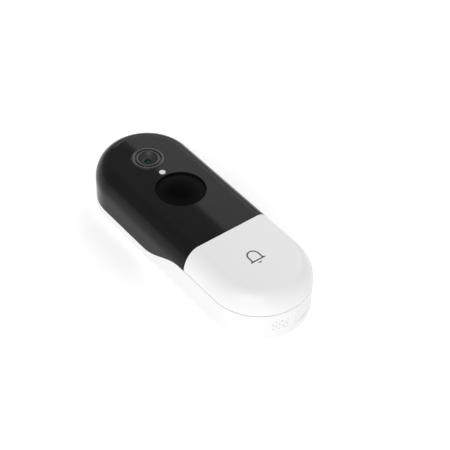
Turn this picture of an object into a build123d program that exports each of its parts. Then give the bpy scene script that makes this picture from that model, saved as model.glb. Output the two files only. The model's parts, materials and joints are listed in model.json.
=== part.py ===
"""A battery video doorbell on its wall plate.

The frame: +X across the doorbell, +Y up towards its camera end, +Z out of its face. The
origin is the middle of the back, in the plane of the wall. All sizes are in millimetres.
"""
from build123d import *
from math import cos, radians, sin
import os

# ---------------------------------------------------------------- overall sizes
WIDTH = 54.0
LENGTH = 146.0
DEPTH = 28.0
EDGE_INSET = 8.7
EDGE_DROP = 12.1
BACK_EDGE = 0.5
WALL = 2.2
CLEARANCE = 0.3

# ---------------------------------------------------------------- parting line
RIM_LOW = 5.5
RIM_HIGH = 16.1
CURVE_START_Y = 12.0
CURVE_END_Y = -18.5
SKIRT_DEPTH = 1.7
SKIRT_WALL = 1.2
SEAL_WIDTH = 0.7
SEAL_HEIGHT = 1.0
SEAL_LIFT = 0.3
LEDGE_HEIGHT = 1.5

# ---------------------------------------------------------------- wall plate
PLATE_WIDTH = 37.0
PLATE_THICKNESS = 2.0
PLATE_UPPER_Y = 44.0
PLATE_LOWER_Y = -36.0
PLATE_TRAVEL = 8.0
PLATE_GAP = 0.1
TAB_LENGTH = 8.0
TAB_REACH = 1.5
TAB_HEIGHT = 0.9
TAB_SPACING = 52.0
TAB_MIDDLE_Y = -4.0
WALL_SCREW_RADIUS = 2.25
WALL_SCREW_HEAD_RADIUS = 4.2
WALL_SCREW_HEAD_DEPTH = 1.1
PLATE_WINDOW_WIDTH = 17.0
PLATE_WINDOW_LENGTH = 26.0
PLATE_WINDOW_CORNER = 3.0
PLATE_RIB = 6.0

# ---------------------------------------------------------------- rear shell
FLOOR_SKIN = 1.3
BOSS_RADIUS = 2.2
BOSS_INSET = 5.4
BOSS_END_ANGLE = 37.7
BOSS_MIDDLE_Y = 8.0
BOSS_RISE = 2.0
HOUSING_SCREW_RADIUS = 1.1
HOUSING_SCREW_LENGTH = 8.0
SCREW_HEAD_RADIUS = 1.85
SCREW_HEAD_HEIGHT = 1.3
SCREW_SEAT = 1.6
SCREW_SOCKET_SHARE = 0.4
SCREW_END_ROOM = 1.0

# ---------------------------------------------------------------- button
SPLIT_Y = -21.8
SPLIT_GAP = 0.3
LID_WALL = 1.8
LID_TRAVEL = 0.3
LID_SEAM = 0.45
DECK_TOP = 23.8
DECK_SKIN = 1.4
DECK_GAP = 0.7
BUTTON_Y = -46.0
BUTTON_BOARD_WIDTH = 21.0
BUTTON_BOARD_LENGTH = 22.0
BUTTON_BOARD_THICKNESS = 0.8
BOARD_CORNER = 2.0
FLEX_WIDTH = 6.0
FLEX_THICKNESS = 0.2
FLEX_BEND = 0.5
FLEX_SLOT_Y = -33.0
FLEX_SLOT_LENGTH = 1.2
FLEX_DROP_Y = 9.2
FLEX_END = 4.0
FLEX_LIFT = 1.0
SWITCH_SIZE = 4.4
SWITCH_HEIGHT = 0.6
SWITCH_CORNER = 0.4
PLUNGER_RADIUS = 1.0
PLUNGER_RISE = 0.45
PLUNGER_GAP = 0.05
PRESS_BOSS_RADIUS = 2.6
PAD_RADIUS = 1.6
PAD_SPACING_X = 26.0
PAD_SPACING_Y = 20.0
PAD_TAPER = 8
SNAP_LENGTH = 6.0
SNAP_HEIGHT = 0.8
SNAP_OVERLAP = 0.25
SNAP_GAP = 0.1
SNAP_RISE = 0.1
SNAP_PLACES_Y = (-28.5, -42.5)

# ---------------------------------------------------------------- battery
CELL_RADIUS = 9.2
CELL_LENGTH = 65.0
CELL_PITCH = 18.8
CELL_START_Y = -59.0
CELL_FLOOR_GAP = 0.3
CELL_CAP = 1.0
CELL_CAP_RADIUS = 3.0
CELL_EDGE = 0.8
CRADLE_HEIGHT = 5.6
CRADLE_END_WALL = 1.6
CRADLE_END_HEIGHT = 16.5
CRADLE_END_WIDTH = 23.6
CRADLE_OPENING = 1.5
CRADLE_TRIM = 0.2
CONTACT_THICKNESS = 0.5
CONTACT_SIZE = 7.0

# ---------------------------------------------------------------- boards
BOARD_THICKNESS = 1.2
MAIN_BOARD_Z = 8.4
MAIN_BOARD_RADIUS = 19.0
MAIN_BOARD_START_Y = 9.6
STANDOFF_RADIUS = 2.2
STANDOFF_X = 15.5
STANDOFF_Y = 15.0
STANDOFF_SHIFT = 2.0
BOARD_SCREW_RADIUS = 0.8
BOARD_SCREW_HEAD_RADIUS = 1.6
BOARD_SCREW_HEAD_HEIGHT = 1.0
SENSOR_BOARD_Z = 13.0
SENSOR_BOARD_THICKNESS = 1.0
CAMERA_BOARD_Z = 11.0
CAMERA_BOARD_SIZE = 22.0
CAMERA_CABLE_OVERLAP = 3.0
CAMERA_CABLE_REACH = 1.2
CAMERA_BOARD_THICKNESS = 1.0
POST_RADIUS = 1.6
POST_HOLE_DEPTH = 4.5
POST_SCREW_LENGTH = 4.0
CAMERA_POST_REACH = 9.0
SENSOR_BOARD_WIDTH = 36.0
SENSOR_BOARD_LENGTH = 24.0
SENSOR_BOARD_Y = 22.6
SENSOR_POST_INSET = 2.2
CHIP_HEIGHT = 1.0

PROCESSOR_PLACE = (7.0, 26.0)
PROCESSOR_SIZE = 10.0
SHIELD_SIZE = 13.0
SHIELD_HEIGHT = 1.8
SHIELD_WALL = 0.3
CONNECTOR_PLACE = (-9.0, 22.0)
CONNECTOR_WIDTH = 3.0
CONNECTOR_LENGTH = 12.0
ANTENNA_Y = 30.0
ANTENNA_Z = 11.5
ANTENNA_LENGTH = 30.0
ANTENNA_HEIGHT = 7.0
ANTENNA_THICKNESS = 0.4
ANTENNA_CORNER = 1.0

# ---------------------------------------------------------------- camera
CAMERA_Y = 45.3
BEZEL_RADIUS = 8.75
BEZEL_FLANGE_RADIUS = 10.2
BEZEL_FLANGE = 1.0
BEAD_HEIGHT = 0.4
OUTER_BEAD_RADIUS = 7.7
OUTER_BEAD_HALF_WIDTH = 0.95
INNER_BEAD_RADIUS = 5.65
INNER_BEAD_HALF_WIDTH = 0.8
CONE_DEPTH = 1.8
BEZEL_LIP_DROP = 0.2
BEZEL_LENS_GAP = 0.1
LENS_RADIUS = 1.7
BARREL_RADIUS = 6.0
BARREL_NOSE_RADIUS = 3.2
BARREL_BOTTOM = 14.8
BARREL_SHOULDER = 22.5
BARREL_TOP = 25.5
APERTURE_RADIUS = 1.3
REAR_LENS_RADIUS = 3.6
REAR_LENS_THICKNESS = 2.4
REAR_LENS_INSET = 0.6
REAR_LENS_EDGE = 0.3
FRONT_LENS_TOP = 26.1
FRONT_LENS_BOTTOM = 24.4
FRONT_LENS_SAG = 0.5
HOLDER_SIZE = 15.0
HOLDER_BASE = 2.9
HOLDER_HEIGHT = 8.0
HOLDER_ROOF = 0.9
HOLDER_COLLAR = 1.3
HOLDER_SEAT = 0.2
SENSOR_CHAMBER = 11.0
IMAGE_SENSOR_WIDTH = 7.0
IMAGE_SENSOR_LENGTH = 6.0
IMAGE_SENSOR_HEIGHT = 0.8
FILTER_THICKNESS = 0.4
FILTER_WINDOW_RADIUS = 3.4
INFRARED_LED_COUNT = 6
INFRARED_LED_WIDTH = 1.6
INFRARED_LED_LENGTH = 2.0
INFRARED_LED_HEIGHT = 0.7
INFRARED_BOARD_THICKNESS = 0.8
FIT = 0.05

# ---------------------------------------------------------------- face openings
LIGHT_Y = 32.4
LIGHT_RADIUS = 1.7
LIGHT_CORE_RADIUS = 0.65
LIGHT_CORE_DEPTH = 0.1
LIGHT_PIPE_BOTTOM = 15.0
LIGHT_EDGE = 0.2
STATUS_LED_PITCH = 2.4
STATUS_LED_WIDTH = 1.0
STATUS_LED_LENGTH = 1.6
STATUS_LED_HEIGHT = 0.6
PIR_Y = 16.4
PIR_RADIUS = 13.0
PIR_RECESS = 1.2
PIR_DOME = 1.2
PIR_WALL = 1.0
PIR_FLANGE = 0.8
PIR_SENSOR_RADIUS = 4.6
PIR_SENSOR_HEIGHT = 4.2
PIR_SENSOR_FLANGE = 0.5
PIR_FILTER_WIDTH = 3.8
PIR_FILTER_LENGTH = 3.2
PIR_FILTER_DEPTH = 0.3

# ---------------------------------------------------------------- end wall
GRILLE_ANGLE = -14.5
GRILLE_Z = 8.7
GRILLE_HOLE_RADIUS = 0.35
GRILLE_COLUMNS = 6
GRILLE_PITCH_X = 1.5
GRILLE_PITCH_Z = 3.0
SPEAKER_ANGLE = -12.5
SPEAKER_WIDTH = 10.5
SPEAKER_HEIGHT = 8.8
SPEAKER_DEPTH = 4.0
GASKET_DEPTH = 0.9
GASKET_WIDTH = 1.0
CONE_RECESS = 0.5
SPEAKER_CORNER = 0.8
MESH_DEPTH = 0.2
PORT_ANGLE = 18.0
PORT_Z = 8.4
PORT_WIDTH = 9.4
PORT_HEIGHT = 3.7
POCKET_WIDTH = 13.2
POCKET_TOP = 11.7
POCKET_DEPTH = 1.7
POCKET_CORNER = 0.5
PORT_CORNER = 1.2
FLAP_HINGE_Z = 5.5
FLAP_HALF_THICKNESS = 0.72
FLAP_INNER_GAP = 0.2
FLAP_SIDE_GAP = 0.2
SOCKET_WIDTH = 9.0
SOCKET_HEIGHT = 3.2
SOCKET_LENGTH = 6.6
SOCKET_SHELL = 0.3
TONGUE_WIDTH = 6.6
TONGUE_THICKNESS = 0.7
SOCKET_BACK = 1.0
FLAP_PLUG_DEPTH = 0.7

# ---------------------------------------------------------------- side and back
MICROPHONE_Y = 40.0
MICROPHONE_Z = 12.0
MICROPHONE_HOLE_RADIUS = 0.5
MICROPHONE_RADIUS = 2.2
POWER_BUTTON_Y = 26.0
POWER_BUTTON_RADIUS = 3.0
POWER_BUTTON_TRAVEL = 0.45
POWER_SWITCH_HEIGHT = 0.8
POWER_STEM_RADIUS = 1.2
POWER_FLANGE = 0.6

# ---------------------------------------------------------------- worked-out sizes
RADIUS = WIDTH / 2
HALF_STRAIGHT = LENGTH / 2 - RADIUS
CORNER_X = RADIUS - EDGE_INSET
CORNER_Z = DEPTH - EDGE_DROP
INNER_RADIUS = RADIUS - WALL
CEILING = DEPTH - WALL
SKIRT_RADIUS = INNER_RADIUS - SEAL_WIDTH
SKIRT_INNER = SKIRT_RADIUS - SKIRT_WALL
RECESS_TOP = PLATE_THICKNESS + PLATE_GAP
FLOOR = RECESS_TOP + FLOOR_SKIN
PLATE_RADIUS = PLATE_WIDTH / 2
BOSS_RING = RADIUS - BOSS_INSET
LID_RADIUS = RADIUS - LID_WALL
LID_CEILING = DEPTH - LID_WALL
LID_BOTTOM = RIM_HIGH + LID_SEAM
LID_EDGE_Y = SPLIT_Y - SPLIT_GAP / 2
HOUSING_EDGE_Y = SPLIT_Y + SPLIT_GAP / 2
DECK_CEILING = DECK_TOP - DECK_SKIN
CELL_Z = FLOOR + CELL_FLOOR_GAP + CELL_RADIUS
CELL_END_Y = CELL_START_Y + CELL_LENGTH
MAIN_BOARD_TOP = MAIN_BOARD_Z + BOARD_THICKNESS
BUTTON_BOARD_TOP = DECK_TOP + BUTTON_BOARD_THICKNESS
SWITCH_TOP = BUTTON_BOARD_TOP + SWITCH_HEIGHT
PLUNGER_TOP = SWITCH_TOP + PLUNGER_RISE
BEZEL_BOTTOM = CEILING - BEZEL_FLANGE
CONE_RADIUS = INNER_BEAD_RADIUS - INNER_BEAD_HALF_WIDTH
BOSS_TOP = CORNER_Z + BOSS_RISE
SNAP_TOP = LID_BOTTOM + SNAP_RISE + SNAP_HEIGHT
BEAD_REACH = LID_RADIUS - SKIRT_RADIUS - SNAP_OVERLAP - SNAP_GAP
LEDGE_REACH = 2 * SNAP_OVERLAP + SNAP_GAP
CAMERA_BOARD_TOP = CAMERA_BOARD_Z + CAMERA_BOARD_THICKNESS
SENSOR_BOARD_TOP = SENSOR_BOARD_Z + SENSOR_BOARD_THICKNESS
CAMERA_AXIS = Axis((0, CAMERA_Y, 0), (0, 0, 1))
POWER_SWITCH_BOTTOM = MAIN_BOARD_Z - POWER_SWITCH_HEIGHT


# ---------------------------------------------------------------- shared shapes
def pill(radius, upper_y=HALF_STRAIGHT, lower_y=-HALF_STRAIGHT):
    """The flat pill outline with its end arcs centred at the two given heights."""
    with BuildSketch() as outline:
        with Locations((0, (upper_y + lower_y) / 2)):
            SlotCenterToCenter(upper_y - lower_y, 2 * radius, rotation=90)
    return outline.sketch


def rounded_pill(radius, low, high, lower_y=None, upper_y=None, mode=Mode.ADD):
    """Add or cut a pill block whose top edge follows the doorbell's edge curve.

    A lower_y or upper_y ends the block there with a flat face instead of its round end.
    """
    start = -HALF_STRAIGHT if lower_y is None else lower_y
    stop = HALF_STRAIGHT if upper_y is None else upper_y
    with BuildSketch(Plane.XZ) as half_section:
        with BuildLine():
            base = Line((0, low), (radius, low))
            side = Line(base @ 1, (radius, CORNER_Z))
            corner = EllipticalCenterArc(
                (CORNER_X, CORNER_Z), radius - CORNER_X, high - CORNER_Z, 0, arc_size=90
            )
            top = Line(corner @ 1, (0, high))
            Line(top @ 1, base @ 0)
        make_face()
    half = half_section.sketch
    full = half + mirror(half, about=Plane.YZ, mode=Mode.PRIVATE)
    extrude(Location((0, stop, 0)) * full, amount=stop - start, mode=mode)
    if upper_y is None:
        end = Location((0, stop, 0)) * half
        revolve(end, axis=Axis((0, stop, 0), (0, 0, 1)), revolution_arc=180, mode=mode)
    if lower_y is None:
        end = Location((0, start, 0)) * half
        revolve(end, axis=Axis((0, start, 0), (0, 0, -1)), revolution_arc=180, mode=mode)


def below_parting_line(offset=0.0):
    """The side profile of all that lies under the parting line, raised by offset."""
    low = RIM_LOW + offset
    high = RIM_HIGH + offset
    third = (CURVE_START_Y - CURVE_END_Y) / 3
    with BuildSketch(Plane.YZ) as profile:
        with BuildLine():
            upper = Line((LENGTH, low), (CURVE_START_Y, low))
            curve = Bezier(
                upper @ 1,
                (CURVE_START_Y - third, low),
                (CURVE_END_Y + third, high),
                (CURVE_END_Y, high),
            )
            Polyline(
                curve @ 1, (-LENGTH, high), (-LENGTH, -DEPTH), (LENGTH, -DEPTH), upper @ 0
            )
        make_face()
    return profile.sketch


def parting_ring(outer_radius, inner_radius, low_offset, high_offset):
    """A band round the pill outline between two lines parallel to the parting line."""
    with BuildPart() as ring:
        extrude(pill(outer_radius) - pill(inner_radius), amount=DEPTH)
        extrude(below_parting_line(high_offset), amount=WIDTH, both=True, mode=Mode.INTERSECT)
        extrude(below_parting_line(low_offset), amount=WIDTH, both=True, mode=Mode.SUBTRACT)
    return ring.part


def wall_plane(angle, height):
    """A plane on the lower end wall, facing outwards, angle degrees round from -Y."""
    outward = Vector(sin(radians(angle)), -cos(radians(angle)), 0)
    origin = Vector(0, -HALF_STRAIGHT, height) + outward * RADIUS
    return Plane(origin=origin, x_dir=(cos(radians(angle)), sin(radians(angle)), 0), z_dir=outward)


def screw_places():
    """The places of the housing screws: two at each end and one on each side."""
    angle = radians(BOSS_END_ANGLE)
    side = BOSS_RING * sin(angle)
    reach = HALF_STRAIGHT + BOSS_RING * cos(angle)
    places = [(x, y) for x in (-side, side) for y in (-reach, reach)]
    return places + [(-BOSS_RING, BOSS_MIDDLE_Y), (BOSS_RING, BOSS_MIDDLE_Y)]


def tab_places():
    """The places of the wall plate's four locking tabs."""
    return [
        (side * PLATE_RADIUS, TAB_MIDDLE_Y + end * TAB_SPACING / 2)
        for side in (-1, 1)
        for end in (-1, 1)
    ]


def snap_places(radius):
    """The places of the lid's snaps on the straight sides, at a distance from the middle."""
    return [(side * radius, y) for side in (-1, 1) for y in SNAP_PLACES_Y]


def camera_posts():
    """The places of the four posts that carry the camera board."""
    reach = CAMERA_POST_REACH
    return [(x, CAMERA_Y + y) for x in (-reach, reach) for y in (-reach, reach)]


def sensor_posts():
    """The places of the four posts that carry the sensor board, near its corners."""
    x_reach = SENSOR_BOARD_WIDTH / 2 - SENSOR_POST_INSET
    y_reach = SENSOR_BOARD_LENGTH / 2 - SENSOR_POST_INSET
    return [(x, SENSOR_BOARD_Y + y) for x in (-x_reach, x_reach) for y in (-y_reach, y_reach)]


def standoff_places():
    """The places of the main board's four standoffs."""
    middle = (MAIN_BOARD_START_Y + HALF_STRAIGHT) / 2 + STANDOFF_SHIFT
    return [
        (x, middle + y)
        for x in (-STANDOFF_X, STANDOFF_X)
        for y in (-STANDOFF_Y, STANDOFF_Y)
    ]


def shallow_dome(radius, top, sag):
    """A shallow arc from the axis, at height top, down by sag at the given radius."""
    return ThreePointArc((0, top), (radius / 2, top - sag / 4), (radius, top - sag))


def screws(places, head_bottom, head_radius, head_height, radius, length):
    """Pan-head screws that point up, each with a hexagon socket, as one group."""
    with BuildPart() as group:
        with BuildSketch(Plane.XY.offset(head_bottom)):
            with Locations(*places):
                Circle(head_radius)
                RegularPolygon(head_radius * SCREW_SOCKET_SHARE, 6, mode=Mode.SUBTRACT)
        extrude(amount=head_height)
        socket_floor = head_height * (1 - SCREW_SOCKET_SHARE)
        with BuildSketch(Plane.XY.offset(head_bottom + socket_floor)):
            with Locations(*places):
                Circle(radius)
        extrude(amount=head_height - socket_floor + length)
    return group


def save(builder, name):
    """Label a finished piece and write its STEP file."""
    builder.part.label = name
    export_step(builder.part, f"parts/{name}.step")


os.makedirs("parts", exist_ok=True)

# ================================================================ wall plate
with BuildPart() as wall_plate:
    extrude(pill(PLATE_RADIUS, PLATE_UPPER_Y, PLATE_LOWER_Y), amount=PLATE_THICKNESS)
    with BuildSketch(Plane.XY.offset(PLATE_THICKNESS - TAB_HEIGHT)):
        with Locations(*tab_places()):
            Rectangle(2 * TAB_REACH, TAB_LENGTH)
    extrude(amount=TAB_HEIGHT)
    with BuildSketch():
        with Locations((0, (PLATE_UPPER_Y + PLATE_LOWER_Y) / 2)):
            with GridLocations(0, PLATE_WINDOW_LENGTH + PLATE_RIB, 1, 2):
                RectangleRounded(PLATE_WINDOW_WIDTH, PLATE_WINDOW_LENGTH, PLATE_WINDOW_CORNER)
    extrude(amount=PLATE_THICKNESS, mode=Mode.SUBTRACT)
    with Locations((0, PLATE_UPPER_Y, PLATE_THICKNESS), (0, PLATE_LOWER_Y, PLATE_THICKNESS)):
        CounterBoreHole(WALL_SCREW_RADIUS, WALL_SCREW_HEAD_RADIUS, WALL_SCREW_HEAD_DEPTH)
save(wall_plate, "wall_plate")

# ================================================================ rear shell
PORT_PLANE = wall_plane(PORT_ANGLE, 0)
GRILLE_PLANE = wall_plane(GRILLE_ANGLE, GRILLE_Z)

with BuildPart() as rear_shell:
    extrude(pill(RADIUS), amount=RIM_HIGH)
    chamfer(rear_shell.faces().sort_by(Axis.Z)[0].edges(), BACK_EDGE)
    extrude(Pos(0, 0, FLOOR) * pill(INNER_RADIUS), amount=RIM_HIGH, mode=Mode.SUBTRACT)
    extrude(below_parting_line(), amount=WIDTH, both=True, mode=Mode.INTERSECT)
    # the recess that the wall plate slides in, with its entry notches and lock channels
    recess_lower_y = PLATE_LOWER_Y - PLATE_TRAVEL
    extrude(
        pill(PLATE_RADIUS + CLEARANCE, PLATE_UPPER_Y, recess_lower_y),
        amount=RECESS_TOP,
        mode=Mode.SUBTRACT,
    )
    channel_length = TAB_LENGTH + PLATE_TRAVEL + 2 * CLEARANCE
    entry_length = TAB_LENGTH + 2 * CLEARANCE
    channel_width = 2 * (TAB_REACH + CLEARANCE)
    with BuildSketch(Plane.XY.offset(PLATE_THICKNESS - TAB_HEIGHT - PLATE_GAP)):
        with Locations(*[(x, y - PLATE_TRAVEL / 2) for x, y in tab_places()]):
            Rectangle(channel_width, channel_length)
    extrude(amount=TAB_HEIGHT + 2 * PLATE_GAP, mode=Mode.SUBTRACT)
    with BuildSketch():
        with Locations(*[(x, y - PLATE_TRAVEL) for x, y in tab_places()]):
            Rectangle(channel_width, entry_length)
    extrude(amount=RECESS_TOP, mode=Mode.SUBTRACT)
    # standoffs for the main board
    with BuildSketch(Plane.XY.offset(FLOOR)):
        with Locations(*standoff_places()):
            Circle(STANDOFF_RADIUS)
            Circle(BOARD_SCREW_RADIUS, mode=Mode.SUBTRACT)
    extrude(amount=MAIN_BOARD_Z - FLOOR)
    # screw holes through the floor, their heads sunk in the back
    with BuildSketch():
        with Locations(*screw_places()):
            Circle(HOUSING_SCREW_RADIUS + FIT)
    extrude(amount=FLOOR, mode=Mode.SUBTRACT)
    with BuildSketch():
        with Locations(*screw_places()):
            Circle(SCREW_HEAD_RADIUS + FIT)
    extrude(amount=SCREW_SEAT, mode=Mode.SUBTRACT)
    # the power button's hole
    with Locations((0, POWER_BUTTON_Y, 0)):
        Cylinder(
            POWER_BUTTON_RADIUS + CLEARANCE,
            FLOOR,
            align=(Align.CENTER, Align.CENTER, Align.MIN),
            mode=Mode.SUBTRACT,
        )
    # the charging port: a pocket for its cover, and the opening in the pocket's floor
    with BuildSketch(PORT_PLANE):
        pocket_bottom = FLAP_HINGE_Z - FLAP_HALF_THICKNESS - FLAP_INNER_GAP
        with Locations((0, (POCKET_TOP + pocket_bottom) / 2)):
            RectangleRounded(POCKET_WIDTH, POCKET_TOP - pocket_bottom, POCKET_CORNER)
    extrude(amount=-POCKET_DEPTH, mode=Mode.SUBTRACT)
    with BuildSketch(PORT_PLANE):
        with Locations((0, PORT_Z)):
            RectangleRounded(PORT_WIDTH, PORT_HEIGHT, PORT_CORNER)
    extrude(amount=-2 * WALL, mode=Mode.SUBTRACT)
    # the speaker grille: staggered holes
    with BuildSketch(GRILLE_PLANE):
        stagger = (GRILLE_PITCH_X / 2, GRILLE_PITCH_Z / 4)
        with Locations(stagger, (-stagger[0], -stagger[1])):
            with GridLocations(2 * GRILLE_PITCH_X, GRILLE_PITCH_Z, GRILLE_COLUMNS // 2, 2):
                Circle(GRILLE_HOLE_RADIUS)
    extrude(amount=-2 * WALL, mode=Mode.SUBTRACT)
save(rear_shell, "rear_shell")

housing_screws = screws(
    screw_places(),
    SCREW_SEAT - SCREW_HEAD_HEIGHT,
    SCREW_HEAD_RADIUS,
    SCREW_HEAD_HEIGHT,
    HOUSING_SCREW_RADIUS,
    HOUSING_SCREW_LENGTH,
)
save(housing_screws, "housing_screws")

with BuildPart() as perimeter_seal:
    seal_bottom = SEAL_LIFT - SKIRT_DEPTH
    add(parting_ring(INNER_RADIUS, SKIRT_RADIUS, seal_bottom, seal_bottom + SEAL_HEIGHT))
save(perimeter_seal, "perimeter_seal")

# ================================================================ front housing
skirt = parting_ring(SKIRT_RADIUS, SKIRT_INNER, -SKIRT_DEPTH, 0)
ledge = parting_ring(INNER_RADIUS, SKIRT_INNER, 0, LEDGE_HEIGHT)

with BuildPart() as front_housing:
    rounded_pill(RADIUS, RIM_LOW, DEPTH, lower_y=HOUSING_EDGE_Y)
    rounded_pill(
        INNER_RADIUS, RIM_LOW, CEILING, lower_y=HOUSING_EDGE_Y + WALL, mode=Mode.SUBTRACT
    )
    rounded_pill(SKIRT_RADIUS, RIM_LOW, DECK_TOP, upper_y=HOUSING_EDGE_Y + WALL / 2)
    rounded_pill(
        SKIRT_INNER, RIM_LOW, DECK_CEILING, upper_y=HOUSING_EDGE_Y + 2 * WALL, mode=Mode.SUBTRACT
    )
    extrude(below_parting_line(), amount=WIDTH, both=True, mode=Mode.SUBTRACT)
    add(skirt)
    add(ledge)
    # the ledge belongs to the black part only, so the lid's room is cleared again
    with BuildSketch(Plane.XY.offset(RIM_HIGH)):
        with Locations((0, HOUSING_EDGE_Y - LENGTH / 2)):
            Rectangle(2 * WIDTH, LENGTH)
        add(pill(SKIRT_RADIUS), mode=Mode.SUBTRACT)
    extrude(amount=DEPTH, mode=Mode.SUBTRACT)
    # openings in the face, and the flexible cable's slot through the deck
    with BuildSketch(Plane.XY.offset(CEILING)):
        with Locations((0, CAMERA_Y)):
            Circle(BEZEL_RADIUS)
        with Locations((0, LIGHT_Y)):
            Circle(LIGHT_RADIUS + FIT)
        with Locations((0, PIR_Y)):
            Circle(PIR_RADIUS)
    extrude(amount=DEPTH, mode=Mode.SUBTRACT)
    with BuildSketch(Plane.XY.offset(DECK_CEILING)):
        with Locations((0, FLEX_SLOT_Y)):
            Rectangle(FLEX_WIDTH + 2 * CLEARANCE, FLEX_SLOT_LENGTH)
    extrude(amount=DEPTH, mode=Mode.SUBTRACT)
    # bosses that the housing screws bite into
    boss_bottom = FLOOR + FIT
    with BuildSketch(Plane.XY.offset(boss_bottom)):
        with Locations(*screw_places()):
            Circle(BOSS_RADIUS)
    extrude(amount=BOSS_TOP - boss_bottom)
    with BuildSketch(Plane.XY.offset(boss_bottom)):
        with Locations(*screw_places()):
            Circle(HOUSING_SCREW_RADIUS)
    hole_end = SCREW_SEAT + HOUSING_SCREW_LENGTH + SCREW_END_ROOM
    extrude(amount=hole_end - boss_bottom, mode=Mode.SUBTRACT)
    # posts that carry the camera board and the sensor board
    board_posts = [(camera_posts(), CAMERA_BOARD_TOP), (sensor_posts(), SENSOR_BOARD_TOP)]
    for places, post_bottom in board_posts:
        with BuildSketch(Plane.XY.offset(post_bottom)):
            with Locations(*places):
                Circle(POST_RADIUS)
        extrude(amount=CEILING - post_bottom)
        with BuildSketch(Plane.XY.offset(post_bottom)):
            with Locations(*places):
                Circle(BOARD_SCREW_RADIUS)
        extrude(amount=POST_HOLE_DEPTH, mode=Mode.SUBTRACT)
    # ledges on the deck that hold the button lid down
    with BuildSketch(Plane.XY.offset(SNAP_TOP + SNAP_GAP)):
        with Locations(*snap_places(SKIRT_RADIUS)):
            Rectangle(2 * LEDGE_REACH, SNAP_LENGTH)
    extrude(amount=SNAP_HEIGHT)
    # the microphone's pinhole
    with BuildSketch(Plane.YZ.offset(INNER_RADIUS - WALL)):
        with Locations((MICROPHONE_Y, MICROPHONE_Z)):
            Circle(MICROPHONE_HOLE_RADIUS)
    extrude(amount=3 * WALL, mode=Mode.SUBTRACT)
save(front_housing, "front_housing")

# ================================================================ button lid
with BuildPart() as button_lid:
    rounded_pill(RADIUS, RIM_LOW, DEPTH, upper_y=LID_EDGE_Y)
    with BuildSketch():
        Rectangle(2 * WIDTH, 2 * LENGTH)
    extrude(amount=LID_BOTTOM, mode=Mode.SUBTRACT)
    rounded_pill(
        LID_RADIUS, RIM_LOW, LID_CEILING, upper_y=LID_EDGE_Y - LID_WALL, mode=Mode.SUBTRACT
    )
    rounded_pill(
        SKIRT_RADIUS + DECK_GAP, RIM_LOW, DECK_TOP + DECK_GAP, upper_y=SPLIT_Y + WALL,
        mode=Mode.SUBTRACT,
    )
    # the boss that presses the switch
    with BuildSketch(Plane.XY.offset(PLUNGER_TOP + PLUNGER_GAP)):
        with Locations((0, BUTTON_Y)):
            Circle(PRESS_BOSS_RADIUS)
    extrude(amount=LID_CEILING - PLUNGER_TOP)
    # snap beads under the deck's ledges
    with BuildSketch(Plane.XY.offset(SNAP_TOP - SNAP_HEIGHT)):
        with Locations(*snap_places(LID_RADIUS)):
            Rectangle(2 * BEAD_REACH, SNAP_LENGTH)
    extrude(amount=SNAP_HEIGHT)
save(button_lid, "button_lid")

with BuildPart() as return_pads:
    with BuildSketch(Plane.XY.offset(DECK_TOP)):
        with Locations((0, BUTTON_Y)):
            with GridLocations(PAD_SPACING_X, PAD_SPACING_Y, 2, 2):
                Circle(PAD_RADIUS)
    extrude(amount=LID_CEILING - DECK_TOP, taper=PAD_TAPER)
save(return_pads, "return_pads")

with BuildPart() as button_board:
    with BuildSketch(Plane.XY.offset(DECK_TOP)):
        with Locations((0, BUTTON_Y)):
            RectangleRounded(BUTTON_BOARD_WIDTH, BUTTON_BOARD_LENGTH, BOARD_CORNER)
    extrude(amount=BUTTON_BOARD_THICKNESS)
save(button_board, "button_board")

with BuildPart() as button_switch:
    with BuildSketch(Plane.XY.offset(BUTTON_BOARD_TOP)):
        with Locations((0, BUTTON_Y)):
            RectangleRounded(SWITCH_SIZE, SWITCH_SIZE, SWITCH_CORNER)
            Circle(PLUNGER_RADIUS + FIT, mode=Mode.SUBTRACT)
    extrude(amount=SWITCH_HEIGHT)
save(button_switch, "button_switch")

with BuildPart() as switch_plunger:
    with BuildSketch(Plane.XY.offset(BUTTON_BOARD_TOP + LID_TRAVEL + FIT)):
        with Locations((0, BUTTON_Y)):
            Circle(PLUNGER_RADIUS)
    extrude(amount=PLUNGER_TOP - BUTTON_BOARD_TOP - LID_TRAVEL - FIT)
save(switch_plunger, "switch_plunger")

with BuildPart() as button_cable:
    with BuildSketch(Plane.YZ):
        with BuildLine():
            board_edge_y = BUTTON_Y + BUTTON_BOARD_LENGTH / 2
            cable_top_z = BUTTON_BOARD_TOP + FLEX_THICKNESS
            under_deck_z = DECK_CEILING - 3 * FLEX_THICKNESS
            FilletPolyline(
                (board_edge_y - FLEX_END, cable_top_z),
                (FLEX_SLOT_Y, cable_top_z),
                (FLEX_SLOT_Y, under_deck_z),
                (FLEX_DROP_Y, under_deck_z),
                (FLEX_DROP_Y, MAIN_BOARD_TOP + FLEX_LIFT),
                (FLEX_DROP_Y + FLEX_END, MAIN_BOARD_TOP + FLEX_LIFT),
                radius=FLEX_BEND,
            )
        trace(line_width=FLEX_THICKNESS)
    extrude(amount=FLEX_WIDTH / 2, both=True)
save(button_cable, "button_cable")

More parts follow.
